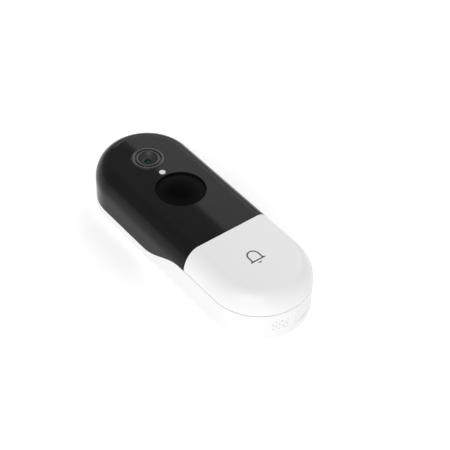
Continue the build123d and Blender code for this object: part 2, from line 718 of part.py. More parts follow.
# ================================================================ camera
with BuildPart() as camera_bezel:
    with BuildSketch(Plane.XZ.offset(-CAMERA_Y)):
        with BuildLine():
            Polyline(
                (LENS_RADIUS + BEZEL_LENS_GAP, CEILING - BEZEL_LIP_DROP),
                (BARREL_NOSE_RADIUS + 2 * BEZEL_LENS_GAP, CEILING - BEZEL_LIP_DROP),
                (BARREL_NOSE_RADIUS + 2 * BEZEL_LENS_GAP, BEZEL_BOTTOM),
                (BEZEL_FLANGE_RADIUS, BEZEL_BOTTOM),
                (BEZEL_FLANGE_RADIUS, CEILING),
                (BEZEL_RADIUS - FIT, CEILING),
                (BEZEL_RADIUS - FIT, DEPTH),
                (OUTER_BEAD_RADIUS + OUTER_BEAD_HALF_WIDTH, DEPTH),
            )
            ThreePointArc(
                (OUTER_BEAD_RADIUS + OUTER_BEAD_HALF_WIDTH, DEPTH),
                (OUTER_BEAD_RADIUS, DEPTH + BEAD_HEIGHT),
                (OUTER_BEAD_RADIUS - OUTER_BEAD_HALF_WIDTH, DEPTH),
            )
            Line(
                (OUTER_BEAD_RADIUS - OUTER_BEAD_HALF_WIDTH, DEPTH),
                (INNER_BEAD_RADIUS + INNER_BEAD_HALF_WIDTH, DEPTH),
            )
            ThreePointArc(
                (INNER_BEAD_RADIUS + INNER_BEAD_HALF_WIDTH, DEPTH),
                (INNER_BEAD_RADIUS, DEPTH + BEAD_HEIGHT),
                (CONE_RADIUS, DEPTH),
            )
            Polyline(
                (CONE_RADIUS, DEPTH),
                (LENS_RADIUS + BEZEL_LENS_GAP, DEPTH - CONE_DEPTH),
                (LENS_RADIUS + BEZEL_LENS_GAP, CEILING - BEZEL_LIP_DROP),
            )
        make_face()
    revolve(axis=CAMERA_AXIS)
save(camera_bezel, "camera_bezel")

with BuildPart() as lens_barrel:
    with BuildSketch(Plane.XZ.offset(-CAMERA_Y)):
        with BuildLine():
            Polyline(
                (REAR_LENS_RADIUS, BARREL_BOTTOM),
                (BARREL_RADIUS, BARREL_BOTTOM),
                (BARREL_RADIUS, BARREL_SHOULDER),
                (BARREL_NOSE_RADIUS, BARREL_SHOULDER),
                (BARREL_NOSE_RADIUS, BARREL_TOP),
                (LENS_RADIUS, BARREL_TOP),
                (LENS_RADIUS, FRONT_LENS_BOTTOM),
                (APERTURE_RADIUS, FRONT_LENS_BOTTOM),
                (APERTURE_RADIUS, BARREL_BOTTOM + REAR_LENS_INSET + REAR_LENS_THICKNESS),
                (REAR_LENS_RADIUS, BARREL_BOTTOM + REAR_LENS_INSET + REAR_LENS_THICKNESS),
                close=True,
            )
        make_face()
    revolve(axis=CAMERA_AXIS)
save(lens_barrel, "lens_barrel")

with BuildPart() as front_lens:
    with BuildSketch(Plane.XZ.offset(-CAMERA_Y)):
        with BuildLine():
            dome = shallow_dome(LENS_RADIUS, FRONT_LENS_TOP, FRONT_LENS_SAG)
            Polyline(
                dome @ 1, (LENS_RADIUS, FRONT_LENS_BOTTOM), (0, FRONT_LENS_BOTTOM), dome @ 0
            )
        make_face()
    revolve(axis=CAMERA_AXIS)
save(front_lens, "front_lens")

with BuildPart() as rear_lens:
    with BuildSketch(Plane.XY.offset(BARREL_BOTTOM + REAR_LENS_INSET)):
        with Locations((0, CAMERA_Y)):
            Circle(REAR_LENS_RADIUS)
    extrude(amount=REAR_LENS_THICKNESS)
    chamfer(rear_lens.edges(), REAR_LENS_EDGE)
save(rear_lens, "rear_lens")

with BuildPart() as lens_holder:
    with BuildSketch(Plane.XY.offset(CAMERA_BOARD_TOP)):
        with Locations((0, CAMERA_Y)):
            RectangleRounded(HOLDER_SIZE, HOLDER_SIZE, HOLDER_ROOF)
    extrude(amount=HOLDER_BASE)
    with BuildSketch(Plane.XY.offset(CAMERA_BOARD_TOP)):
        with Locations((0, CAMERA_Y)):
            Circle(BARREL_RADIUS + HOLDER_COLLAR)
    extrude(amount=HOLDER_HEIGHT)
    with BuildSketch(Plane.XY.offset(CAMERA_BOARD_TOP)):
        with Locations((0, CAMERA_Y)):
            Rectangle(SENSOR_CHAMBER, SENSOR_CHAMBER)
    extrude(amount=HOLDER_BASE - HOLDER_ROOF, mode=Mode.SUBTRACT)
    with BuildSketch(Plane.XY.offset(CAMERA_BOARD_TOP)):
        with Locations((0, CAMERA_Y)):
            Circle(FILTER_WINDOW_RADIUS)
    extrude(amount=HOLDER_HEIGHT, mode=Mode.SUBTRACT)
    with BuildSketch(Plane.XY.offset(BARREL_BOTTOM - HOLDER_SEAT)):
        with Locations((0, CAMERA_Y)):
            Circle(BARREL_RADIUS + FIT)
    extrude(amount=HOLDER_HEIGHT, mode=Mode.SUBTRACT)
save(lens_holder, "lens_holder")

with BuildPart() as infrared_filter:
    filter_top = CAMERA_BOARD_TOP + HOLDER_BASE - HOLDER_ROOF
    with BuildSketch(Plane.XY.offset(filter_top - FILTER_THICKNESS)):
        with Locations((0, CAMERA_Y)):
            Rectangle(SENSOR_CHAMBER - FILTER_THICKNESS, SENSOR_CHAMBER - FILTER_THICKNESS)
    extrude(amount=FILTER_THICKNESS)
save(infrared_filter, "infrared_filter")

with BuildPart() as image_sensor:
    with BuildSketch(Plane.XY.offset(CAMERA_BOARD_TOP)):
        with Locations((0, CAMERA_Y)):
            Rectangle(IMAGE_SENSOR_WIDTH, IMAGE_SENSOR_LENGTH)
    extrude(amount=IMAGE_SENSOR_HEIGHT)
save(image_sensor, "image_sensor")

with BuildPart() as camera_board:
    with BuildSketch(Plane.XY.offset(CAMERA_BOARD_Z)):
        with Locations((0, CAMERA_Y)):
            RectangleRounded(CAMERA_BOARD_SIZE, CAMERA_BOARD_SIZE, BOARD_CORNER)
        with Locations(*camera_posts()):
            Circle(BOARD_SCREW_RADIUS + FIT, mode=Mode.SUBTRACT)
    extrude(amount=CAMERA_BOARD_THICKNESS)
save(camera_board, "camera_board")

with BuildPart() as camera_cable:
    with BuildSketch(Plane.YZ):
        with BuildLine():
            board_edge_y = CAMERA_Y + CAMERA_BOARD_SIZE / 2
            FilletPolyline(
                (board_edge_y - CAMERA_CABLE_OVERLAP, CAMERA_BOARD_TOP + FLEX_THICKNESS),
                (board_edge_y + CAMERA_CABLE_REACH, CAMERA_BOARD_TOP + FLEX_THICKNESS),
                (board_edge_y + CAMERA_CABLE_REACH, MAIN_BOARD_TOP + FLEX_THICKNESS),
                (board_edge_y - CAMERA_CABLE_OVERLAP, MAIN_BOARD_TOP + FLEX_THICKNESS),
                radius=FLEX_BEND,
            )
        trace(line_width=FLEX_THICKNESS)
    extrude(amount=FLEX_WIDTH / 2, both=True)
save(camera_cable, "camera_cable")

with BuildPart() as infrared_board:
    with BuildSketch(Plane.XY.offset(BEZEL_BOTTOM - 2 * INFRARED_BOARD_THICKNESS)):
        with Locations((0, CAMERA_Y)):
            Circle(BEZEL_FLANGE_RADIUS - BEZEL_LIP_DROP)
            Circle(BARREL_NOSE_RADIUS + INFRARED_BOARD_THICKNESS, mode=Mode.SUBTRACT)
    extrude(amount=INFRARED_BOARD_THICKNESS)
save(infrared_board, "infrared_board")

with BuildPart() as infrared_leds:
    with BuildSketch(Plane.XY.offset(BEZEL_BOTTOM - INFRARED_BOARD_THICKNESS)):
        with Locations((0, CAMERA_Y)):
            with PolarLocations((OUTER_BEAD_RADIUS + INNER_BEAD_RADIUS) / 2, INFRARED_LED_COUNT):
                Rectangle(INFRARED_LED_WIDTH, INFRARED_LED_LENGTH)
    extrude(amount=INFRARED_LED_HEIGHT)
save(infrared_leds, "infrared_leds")

# ================================================================ light and motion sensor
with BuildPart() as light_ring:
    with BuildSketch(Plane.XY.offset(LIGHT_PIPE_BOTTOM)):
        with Locations((0, LIGHT_Y)):
            Circle(LIGHT_RADIUS)
    extrude(amount=DEPTH - LIGHT_PIPE_BOTTOM)
    fillet(light_ring.edges().sort_by(Axis.Z)[-1], LIGHT_EDGE)
    with BuildSketch(Plane.XY.offset(LIGHT_PIPE_BOTTOM)):
        with Locations((0, LIGHT_Y)):
            Circle(LIGHT_CORE_RADIUS + FIT)
    extrude(amount=DEPTH, mode=Mode.SUBTRACT)
save(light_ring, "light_ring")

with BuildPart() as light_sensor:
    with BuildSketch(Plane.XY.offset(LIGHT_PIPE_BOTTOM)):
        with Locations((0, LIGHT_Y)):
            Circle(LIGHT_CORE_RADIUS)
    extrude(amount=DEPTH - LIGHT_CORE_DEPTH - LIGHT_PIPE_BOTTOM)
save(light_sensor, "light_sensor")

with BuildPart() as pir_window:
    with BuildSketch(Plane.XZ.offset(-PIR_Y)):
        with BuildLine():
            dome_top = DEPTH - PIR_RECESS + PIR_DOME
            outside = shallow_dome(PIR_RADIUS - FIT, dome_top, PIR_DOME)
            inside = shallow_dome(PIR_RADIUS - FIT - PIR_WALL, dome_top - PIR_WALL, PIR_DOME)
            Line(outside @ 0, inside @ 0)
            Polyline(
                outside @ 1,
                (PIR_RADIUS - FIT, CEILING),
                (PIR_RADIUS + PIR_FLANGE, CEILING),
                (PIR_RADIUS + PIR_FLANGE, CEILING - PIR_WALL),
                (PIR_RADIUS - FIT - PIR_WALL, CEILING - PIR_WALL),
                inside @ 1,
            )
        make_face()
    revolve(axis=Axis((0, PIR_Y, 0), (0, 0, 1)))
save(pir_window, "pir_window")

with BuildPart() as pir_sensor:
    with BuildSketch(Plane.XY.offset(SENSOR_BOARD_TOP)):
        with Locations((0, PIR_Y)):
            Circle(PIR_SENSOR_RADIUS)
    extrude(amount=PIR_SENSOR_FLANGE)
    with BuildSketch(Plane.XY.offset(SENSOR_BOARD_TOP + PIR_SENSOR_FLANGE)):
        with Locations((0, PIR_Y)):
            Circle(PIR_SENSOR_RADIUS - PIR_SENSOR_FLANGE)
    extrude(amount=PIR_SENSOR_HEIGHT - PIR_SENSOR_FLANGE)
    with BuildSketch(Plane.XY.offset(SENSOR_BOARD_TOP + PIR_SENSOR_HEIGHT)):
        with Locations((0, PIR_Y)):
            Rectangle(PIR_FILTER_WIDTH, PIR_FILTER_LENGTH)
    extrude(amount=-PIR_FILTER_DEPTH, mode=Mode.SUBTRACT)
save(pir_sensor, "pir_sensor")

with BuildPart() as status_leds:
    with BuildSketch(Plane.XY.offset(SENSOR_BOARD_TOP)):
        with Locations((0, LIGHT_Y)):
            with GridLocations(STATUS_LED_PITCH, 0, 2, 1):
                Rectangle(STATUS_LED_WIDTH, STATUS_LED_LENGTH)
    extrude(amount=STATUS_LED_HEIGHT)
save(status_leds, "status_leds")

with BuildPart() as sensor_board:
    with BuildSketch(Plane.XY.offset(SENSOR_BOARD_Z)):
        with Locations((0, SENSOR_BOARD_Y)):
            RectangleRounded(SENSOR_BOARD_WIDTH, SENSOR_BOARD_LENGTH, BOARD_CORNER)
        with Locations(*sensor_posts()):
            Circle(BOARD_SCREW_RADIUS + FIT, mode=Mode.SUBTRACT)
    extrude(amount=SENSOR_BOARD_THICKNESS)
save(sensor_board, "sensor_board")

for screw_name, post_places, board_bottom in (
    ("camera_screws", camera_posts(), CAMERA_BOARD_Z),
    ("sensor_screws", sensor_posts(), SENSOR_BOARD_Z),
):
    board_screws = screws(
        post_places,
        board_bottom - BOARD_SCREW_HEAD_HEIGHT,
        BOARD_SCREW_HEAD_RADIUS,
        BOARD_SCREW_HEAD_HEIGHT,
        BOARD_SCREW_RADIUS,
        POST_SCREW_LENGTH,
    )
    save(board_screws, screw_name)

# ================================================================ main board
with BuildPart() as main_board:
    with BuildSketch(Plane.XY.offset(MAIN_BOARD_Z)):
        with Locations((0, HALF_STRAIGHT)):
            Circle(MAIN_BOARD_RADIUS)
        with Locations((0, (HALF_STRAIGHT + MAIN_BOARD_START_Y) / 2)):
            Rectangle(2 * MAIN_BOARD_RADIUS, HALF_STRAIGHT - MAIN_BOARD_START_Y)
        with Locations(*standoff_places()):
            Circle(BOARD_SCREW_RADIUS + FIT, mode=Mode.SUBTRACT)
    extrude(amount=BOARD_THICKNESS)
save(main_board, "main_board")

with BuildPart() as main_board_screws:
    with BuildSketch(Plane.XY.offset(MAIN_BOARD_TOP)):
        with Locations(*standoff_places()):
            Circle(BOARD_SCREW_HEAD_RADIUS)
            RegularPolygon(BOARD_SCREW_HEAD_RADIUS * SCREW_SOCKET_SHARE, 6, mode=Mode.SUBTRACT)
    extrude(amount=BOARD_SCREW_HEAD_HEIGHT)
    socket_bottom = MAIN_BOARD_TOP + BOARD_SCREW_HEAD_HEIGHT * SCREW_SOCKET_SHARE
    with BuildSketch(Plane.XY.offset(socket_bottom)):
        with Locations(*standoff_places()):
            Circle(BOARD_SCREW_RADIUS)
    extrude(amount=-POST_SCREW_LENGTH)
save(main_board_screws, "main_board_screws")

with BuildPart() as processor:
    with BuildSketch(Plane.XY.offset(MAIN_BOARD_TOP)):
        with Locations(PROCESSOR_PLACE):
            Rectangle(PROCESSOR_SIZE, PROCESSOR_SIZE)
    extrude(amount=CHIP_HEIGHT)
save(processor, "processor")

with BuildPart() as shield_can:
    with BuildSketch(Plane.XY.offset(MAIN_BOARD_TOP)):
        with Locations(PROCESSOR_PLACE):
            Rectangle(SHIELD_SIZE, SHIELD_SIZE)
    extrude(amount=SHIELD_HEIGHT)
    with BuildSketch(Plane.XY.offset(MAIN_BOARD_TOP)):
        with Locations(PROCESSOR_PLACE):
            Rectangle(SHIELD_SIZE - 2 * SHIELD_WALL, SHIELD_SIZE - 2 * SHIELD_WALL)
    extrude(amount=SHIELD_HEIGHT - SHIELD_WALL, mode=Mode.SUBTRACT)
save(shield_can, "shield_can")

with BuildPart() as board_connector:
    with BuildSketch(Plane.XY.offset(MAIN_BOARD_TOP)):
        with Locations(CONNECTOR_PLACE):
            Rectangle(CONNECTOR_WIDTH, CONNECTOR_LENGTH)
    extrude(amount=SENSOR_BOARD_Z - MAIN_BOARD_TOP)
save(board_connector, "board_connector")

with BuildPart() as antenna:
    with BuildSketch(Plane.YZ.offset(-INNER_RADIUS + FIT)):
        with Locations((ANTENNA_Y, ANTENNA_Z)):
            RectangleRounded(ANTENNA_LENGTH, ANTENNA_HEIGHT, ANTENNA_CORNER)
    extrude(amount=ANTENNA_THICKNESS)
save(antenna, "antenna")

with BuildPart() as microphone:
    with BuildSketch(Plane.YZ.offset(INNER_RADIUS - FIT)):
        with Locations((MICROPHONE_Y, MICROPHONE_Z)):
            Circle(MICROPHONE_RADIUS)
    extrude(amount=-MICROPHONE_RADIUS)
    with BuildSketch(Plane.YZ.offset(INNER_RADIUS - FIT)):
        with Locations((MICROPHONE_Y, MICROPHONE_Z)):
            Circle(MICROPHONE_HOLE_RADIUS)
    extrude(amount=-MICROPHONE_RADIUS / 2, mode=Mode.SUBTRACT)
save(microphone, "microphone")

# ================================================================ battery
for side, cell_name in (-1, "battery_cell_left"), (1, "battery_cell_right"):
    with BuildPart() as battery_cell:
        with BuildSketch(Plane.XZ.offset(-CELL_START_Y)):
            with Locations((side * CELL_PITCH / 2, CELL_Z)):
                Circle(CELL_RADIUS)
        extrude(amount=-CELL_LENGTH + CELL_CAP)
        fillet(battery_cell.edges(), CELL_EDGE)
        with BuildSketch(Plane.XZ.offset(-CELL_END_Y)):
            with Locations((side * CELL_PITCH / 2, CELL_Z)):
                Circle(CELL_CAP_RADIUS)
        extrude(amount=2 * CELL_CAP)
    save(battery_cell, cell_name)

with BuildPart() as battery_cradle:
    cradle_start_y = CELL_START_Y - CONTACT_THICKNESS - FIT
    cradle_end_y = CELL_END_Y + CONTACT_THICKNESS + FIT
    cradle_middle_y = (cradle_start_y + cradle_end_y) / 2
    cradle_inside = cradle_end_y - cradle_start_y
    cradle_outside = cradle_inside + 2 * CRADLE_END_WALL
    cradle_width = CELL_PITCH + 2 * CELL_RADIUS - CRADLE_TRIM
    cradle_bottom = FLOOR + FIT
    with BuildSketch(Plane.XY.offset(cradle_bottom)):
        with Locations((0, cradle_middle_y)):
            Rectangle(cradle_width, cradle_outside)
    extrude(amount=CRADLE_HEIGHT)
    with BuildSketch(Plane.XY.offset(cradle_bottom)):
        with Locations((0, cradle_middle_y)):
            with GridLocations(0, cradle_inside + CRADLE_END_WALL, 1, 2):
                Rectangle(CRADLE_END_WIDTH, CRADLE_END_WALL)
    extrude(amount=CRADLE_END_HEIGHT)
    with BuildSketch(Plane.XZ.offset(-cradle_start_y)):
        with Locations((0, CELL_Z)):
            with GridLocations(CELL_PITCH, 0, 2, 1):
                Circle(CELL_RADIUS + FIT)
        with Locations((0, cradle_bottom)):
            with GridLocations(CELL_PITCH, 0, 2, 1):
                Rectangle(CELL_RADIUS, 2 * CRADLE_OPENING)
    extrude(amount=-cradle_inside, mode=Mode.SUBTRACT)
    with BuildSketch():
        with Locations(*screw_places()):
            Circle(BOSS_RADIUS + CLEARANCE)
    extrude(amount=DEPTH, mode=Mode.SUBTRACT)
save(battery_cradle, "battery_cradle")

with BuildPart() as battery_contacts:
    for contact_y in cradle_start_y + CONTACT_THICKNESS, cradle_end_y:
        with BuildSketch(Plane.XZ.offset(-contact_y)):
            with Locations((0, CELL_Z)):
                with GridLocations(CELL_PITCH, 0, 2, 1):
                    Rectangle(CONTACT_SIZE, CONTACT_SIZE)
        extrude(amount=CONTACT_THICKNESS)
save(battery_contacts, "battery_contacts")

# ================================================================ speaker
SPEAKER_PLANE = wall_plane(SPEAKER_ANGLE, PORT_Z)
mesh_radius = INNER_RADIUS - FIT
gasket_radius = mesh_radius - MESH_DEPTH
gasket_back = WALL + 2 * FIT + MESH_DEPTH + GASKET_DEPTH

with BuildPart() as speaker_mesh:
    extrude(pill(mesh_radius) - pill(gasket_radius), amount=DEPTH)
    with BuildSketch(SPEAKER_PLANE):
        Rectangle(SPEAKER_WIDTH, SPEAKER_HEIGHT)
    extrude(amount=-2 * WALL, mode=Mode.INTERSECT)
save(speaker_mesh, "speaker_mesh")

with BuildPart() as speaker_gasket:
    with BuildSketch(SPEAKER_PLANE):
        Rectangle(SPEAKER_WIDTH, SPEAKER_HEIGHT)
        Rectangle(
            SPEAKER_WIDTH - 2 * GASKET_WIDTH, SPEAKER_HEIGHT - 2 * GASKET_WIDTH, mode=Mode.SUBTRACT
        )
    extrude(amount=-gasket_back)
    extrude(pill(gasket_radius), amount=DEPTH, mode=Mode.INTERSECT)
save(speaker_gasket, "speaker_gasket")

with BuildPart() as speaker:
    with BuildSketch(SPEAKER_PLANE.offset(-gasket_back)):
        RectangleRounded(SPEAKER_WIDTH, SPEAKER_HEIGHT, SPEAKER_CORNER)
    extrude(amount=-SPEAKER_DEPTH)
    with BuildSketch(SPEAKER_PLANE.offset(-gasket_back)):
        RectangleRounded(
            SPEAKER_WIDTH - 2 * GASKET_WIDTH, SPEAKER_HEIGHT - 2 * GASKET_WIDTH, CONE_RECESS
        )
    extrude(amount=-CONE_RECESS, mode=Mode.SUBTRACT)
save(speaker, "speaker")

# ================================================================ charging port
SOCKET_PLANE = wall_plane(PORT_ANGLE, PORT_Z).offset(-WALL - 2 * FIT)
with BuildPart() as charging_socket:
    with BuildSketch(SOCKET_PLANE):
        RectangleRounded(SOCKET_WIDTH, SOCKET_HEIGHT, PORT_CORNER)
    extrude(amount=-SOCKET_LENGTH)
    with BuildSketch(SOCKET_PLANE):
        RectangleRounded(
            SOCKET_WIDTH - 2 * SOCKET_SHELL,
            SOCKET_HEIGHT - 2 * SOCKET_SHELL,
            PORT_CORNER - SOCKET_SHELL,
        )
        Rectangle(TONGUE_WIDTH, TONGUE_THICKNESS, mode=Mode.SUBTRACT)
    extrude(amount=SOCKET_BACK - SOCKET_LENGTH, mode=Mode.SUBTRACT)
save(charging_socket, "charging_socket")

with BuildPart() as port_board:
    with BuildSketch(SOCKET_PLANE):
        with Locations((0, -SOCKET_HEIGHT / 2 - FIT - SENSOR_BOARD_THICKNESS / 2)):
            Rectangle(SOCKET_WIDTH, SENSOR_BOARD_THICKNESS)
    extrude(amount=-SOCKET_LENGTH)
    extrude(pill(INNER_RADIUS - FIT), amount=DEPTH, mode=Mode.INTERSECT)
save(port_board, "port_board")

with BuildPart() as port_cover:
    flap_back = POCKET_DEPTH - FLAP_INNER_GAP
    hinge_depth = flap_back - FLAP_HALF_THICKNESS
    flap_half_width = POCKET_WIDTH / 2 - FLAP_SIDE_GAP
    flap_top = POCKET_TOP - FLAP_SIDE_GAP
    side_plane = Plane(
        origin=PORT_PLANE.origin, x_dir=PORT_PLANE.z_dir, z_dir=-PORT_PLANE.x_dir
    )
    with BuildSketch(side_plane):
        with Locations((-hinge_depth, FLAP_HINGE_Z)):
            Circle(FLAP_HALF_THICKNESS)
        with Locations((-flap_back / 2, (flap_top + FLAP_HINGE_Z) / 2)):
            Rectangle(flap_back, flap_top - FLAP_HINGE_Z)
    extrude(amount=flap_half_width, both=True)
    extrude(pill(RADIUS - FIT), amount=DEPTH, mode=Mode.INTERSECT)
    with BuildSketch(PORT_PLANE.offset(FIT - flap_back)):
        with Locations((0, PORT_Z)):
            RectangleRounded(
                PORT_WIDTH - 2 * CLEARANCE, PORT_HEIGHT - 2 * CLEARANCE, PORT_CORNER - CLEARANCE
            )
    extrude(amount=-FLAP_PLUG_DEPTH)
save(port_cover, "port_cover")

# ================================================================ power button
with BuildPart() as power_button:
    stem_top = POWER_SWITCH_BOTTOM - PLUNGER_RISE - PLUNGER_GAP
    with BuildSketch(Plane.XY.offset(PLATE_THICKNESS + CLEARANCE)):
        with Locations((0, POWER_BUTTON_Y)):
            Circle(POWER_BUTTON_RADIUS)
    extrude(amount=FLOOR + FIT - PLATE_THICKNESS - CLEARANCE)
    with BuildSketch(Plane.XY.offset(FLOOR + FIT)):
        with Locations((0, POWER_BUTTON_Y)):
            Circle(POWER_BUTTON_RADIUS + POWER_STEM_RADIUS)
    extrude(amount=POWER_FLANGE)
    with BuildSketch(Plane.XY.offset(FLOOR)):
        with Locations((0, POWER_BUTTON_Y)):
            Circle(POWER_STEM_RADIUS)
    extrude(amount=stem_top - FLOOR)
save(power_button, "power_button")

with BuildPart() as power_switch:
    with BuildSketch(Plane.XY.offset(POWER_SWITCH_BOTTOM)):
        with Locations((0, POWER_BUTTON_Y)):
            RectangleRounded(SWITCH_SIZE, SWITCH_SIZE, SWITCH_CORNER)
            Circle(PLUNGER_RADIUS + FIT, mode=Mode.SUBTRACT)
    extrude(amount=POWER_SWITCH_HEIGHT)
save(power_switch, "power_switch")

with BuildPart() as power_plunger:
    with BuildSketch(Plane.XY.offset(POWER_SWITCH_BOTTOM - PLUNGER_RISE)):
        with Locations((0, POWER_BUTTON_Y)):
            Circle(PLUNGER_RADIUS)
    extrude(amount=POWER_SWITCH_HEIGHT + PLUNGER_RISE - POWER_BUTTON_TRAVEL - FIT)
save(power_plunger, "power_plunger")
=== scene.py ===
"""A battery video doorbell on its wall plate, finished and lit in a small white studio.

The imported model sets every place: X runs across, Y up the wall towards the camera end, Z out
of the face, in metres. Parts whose solids are right keep them and get a finish. The parts
that the eye rests on are built again here, smooth and with their small details.
"""
from __future__ import annotations

import json
import logging
import math
from dataclasses import dataclass
from enum import Enum
from typing import Iterable, Sequence

import bmesh
import bpy
from mathutils import Matrix, Vector


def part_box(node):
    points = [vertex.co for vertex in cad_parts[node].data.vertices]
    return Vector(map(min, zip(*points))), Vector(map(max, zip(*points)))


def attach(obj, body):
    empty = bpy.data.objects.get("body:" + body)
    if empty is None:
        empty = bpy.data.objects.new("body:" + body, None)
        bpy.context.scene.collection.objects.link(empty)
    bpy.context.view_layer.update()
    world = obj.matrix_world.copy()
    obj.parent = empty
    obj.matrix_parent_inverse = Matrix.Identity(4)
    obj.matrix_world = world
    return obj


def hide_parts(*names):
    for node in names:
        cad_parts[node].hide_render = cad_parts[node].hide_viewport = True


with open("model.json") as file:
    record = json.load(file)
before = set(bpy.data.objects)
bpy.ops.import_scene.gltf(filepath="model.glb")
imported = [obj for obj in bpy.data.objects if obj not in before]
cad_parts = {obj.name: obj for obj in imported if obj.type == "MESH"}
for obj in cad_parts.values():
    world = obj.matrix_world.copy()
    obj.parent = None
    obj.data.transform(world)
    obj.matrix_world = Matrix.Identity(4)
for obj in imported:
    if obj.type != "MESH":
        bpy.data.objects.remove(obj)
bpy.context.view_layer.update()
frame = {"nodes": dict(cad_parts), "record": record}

log = logging.getLogger("doorbell")

Colour = tuple[float, float, float]
Profile = list[tuple[float, float]]

SPIN_STEPS = 128
MIX_FIRST, MIX_SECOND, MIX_RESULT = 6, 7, 2     # a Mix node's colour sockets
WAVE_FACTOR = math.pi / 10                      # a wave texture's scale times its pitch


def mm(value: float) -> float:
    """Return a length in metres from one in millimetres."""
    return value / 1000


MERGE_REACH = mm(0.0005)


class Slot(Enum):
    """The record's material slots."""

    WHITE_SHELL = "white_shell"
    BLACK_SHELL = "black_shell"
    WHITE_LID = "white_lid"
    PLATE = "plate_plastic"
    SEAL = "seal_rubber"
    COVER = "cover_rubber"
    STEEL = "steel"
    BEZEL = "bezel_plastic"
    LENS = "lens_glass"
    BARREL = "barrel_metal"
    HOLDER = "holder_plastic"
    FILTER = "filter_glass"
    CHIP = "chip_black"
    BOARD = "board_green"
    FLEX = "flex_amber"
    LIGHT = "light_plastic"
    SENSOR = "sensor_window"
    FILM = "pir_film"
    SHIELD = "shield_tin"
    BRASS = "contact_brass"
    CELL = "cell_wrap"
    CRADLE = "cradle_plastic"
    FOAM = "foam"
    BUTTON = "button_rubber"


# ------------------------------------------------------------------ finishes
class NodeSheet:
    """A new material, with short calls that place nodes on it and join them up."""

    def __init__(self, name: str) -> None:
        """Start a material that holds only its shader and the object's coordinates.

        Args:
            name: The material's name.
        """
        self.material = bpy.data.materials.new(name)
        self.material.use_nodes = True
        self.tree = self.material.node_tree
        self.shader = self.tree.nodes["Principled BSDF"]
        self.place = self.tree.nodes.new("ShaderNodeTexCoord").outputs["Object"]

    def set(self, **values: float | Sequence[float]) -> None:
        """Set sockets of the shader.

        Args:
            values: The values, each named as its socket is, with _ for each space.
        """
        for name, value in values.items():
            self.shader.inputs[name.replace("_", " ")].default_value = value

    def add(self, kind: str, sockets: dict[str, object], **settings: object) -> bpy.types.Node:
        """Place a node.

        Args:
            kind: The node's type without its "ShaderNode" prefix.
            sockets: Values, or outputs of other nodes, by input name.
            settings: The node's own options.

        Returns:
            The new node.
        """
        node = self.tree.nodes.new(f"ShaderNode{kind}")
        for option, value in settings.items():
            setattr(node, option, value)
        for name, value in sockets.items():
            if isinstance(value, bpy.types.NodeSocket):
                self.tree.links.new(value, node.inputs[name])
            else:
                node.inputs[name].default_value = value
        return node

    def noise(self, wavelength: float, detail: float = 2.0,
              stretch: Sequence[float] = (1, 1, 1)) -> bpy.types.NodeSocket:
        """Place a smooth noise on the object.

        Args:
            wavelength: The size of its blotches in metres.
            detail: How many finer noises are laid over it.
            stretch: How much longer it is along each axis.

        Returns:
            The noise, about 0.5.
        """
        where = self.add("Mapping", {"Vector": self.place, "Scale": [1 / s for s in stretch]})
        pattern = self.add("TexNoise", {"Vector": where.outputs["Vector"],
                                        "Scale": 1 / wavelength, "Detail": detail})
        return pattern.outputs["Fac"]

    def ranged(self, source: bpy.types.NodeSocket, low: float, high: float,
               start: float = 0.2, stop: float = 0.8) -> bpy.types.NodeSocket:
        """Map a span of values onto another, and hold it level past the ends.

        Args:
            source: The values.
            low: The result at start and before it.
            high: The result at stop and past it.
            start: Where the span begins.
            stop: Where the span ends.

        Returns:
            The mapped values.
        """
        node = self.add("MapRange", {"Value": source, "From Min": start, "From Max": stop,
                                     "To Min": low, "To Max": high})
        return node.outputs["Result"]

    def mixed(self, share: bpy.types.NodeSocket, first: Colour,
              second: Colour) -> bpy.types.NodeSocket:
        """Mix two colours.

        Args:
            share: 0 for the first colour, 1 for the second.
            first: One colour.
            second: The other.

        Returns:
            The mixed colour.
        """
        node = self.add("Mix", {"Factor": share}, data_type="RGBA")
        node.inputs[MIX_FIRST].default_value = (*first, 1)
        node.inputs[MIX_SECOND].default_value = (*second, 1)
        return node.outputs[MIX_RESULT]

    def from_axis(self, centre: Sequence[float]) -> bpy.types.NodeSocket:
        """Measure how far each place is from an upright axis.

        Args:
            centre: A point on the axis.

        Returns:
            The distance in metres.
        """
        where = self.add("Mapping", {"Vector": self.place, "Scale": (1, 1, 0),
                                     "Location": (-centre[0], -centre[1], 0)})
        reach = self.add("VectorMath", {0: where.outputs["Vector"]}, operation="LENGTH")
        return reach.outputs["Value"]

    def join(self, source: bpy.types.NodeSocket, socket: str) -> None:
        """Join an output to a socket of the shader."""
        self.tree.links.new(source, self.shader.inputs[socket])


